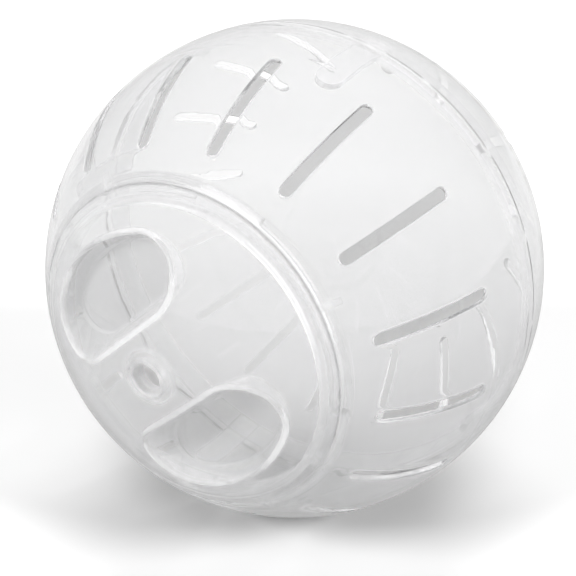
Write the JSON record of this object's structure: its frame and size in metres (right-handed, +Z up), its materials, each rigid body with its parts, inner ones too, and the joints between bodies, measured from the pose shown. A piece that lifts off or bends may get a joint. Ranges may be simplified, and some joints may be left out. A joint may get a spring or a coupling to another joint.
{
  "type": "hamster ball",
  "caption": "Clear vented exercise ball for a hamster, in halves that plug together at a seam, with a round twist-and-lift lid that has finger wells and an axle collar.",
  "frame": {"origin": "centre of the ball", "axes": "-Y out through the middle of the lid, along the axle collar; +Z up, away from the surface that the ball rolls on"},
  "size_m": [0.18, 0.18, 0.18],
  "materials": {
    "clear_shell": "clear, highly polished",
    "clear_lid": "clear, highly polished",
    "clear_collar": "clear, polished, rough moulded rim"
  },
  "bodies": {
    "plain_half": {"plain_side_shell": "clear_shell"},
    "lid_half": {"lid_side_shell": "clear_shell"},
    "collar": {"axle_collar": "clear_collar"},
    "lid": {"twist_lid": "clear_lid"}
  },
  "joints": [
    {"name": "half_pull", "type": "slide", "parent": "plain_half", "child": "lid_half", "axis": [0, -1, 0], "range_m": [0, 0.06]},
    {"name": "lid_lift", "type": "slide", "parent": "lid_half", "child": "collar", "axis": [0, -1, 0], "range_m": [0, 0.04]},
    {"name": "lid_twist", "type": "hinge", "parent": "collar", "child": "lid", "pos_m": [0, -0.08, 0], "axis": [0, 1, 0], "range_deg": [0, 30]}
  ]
}
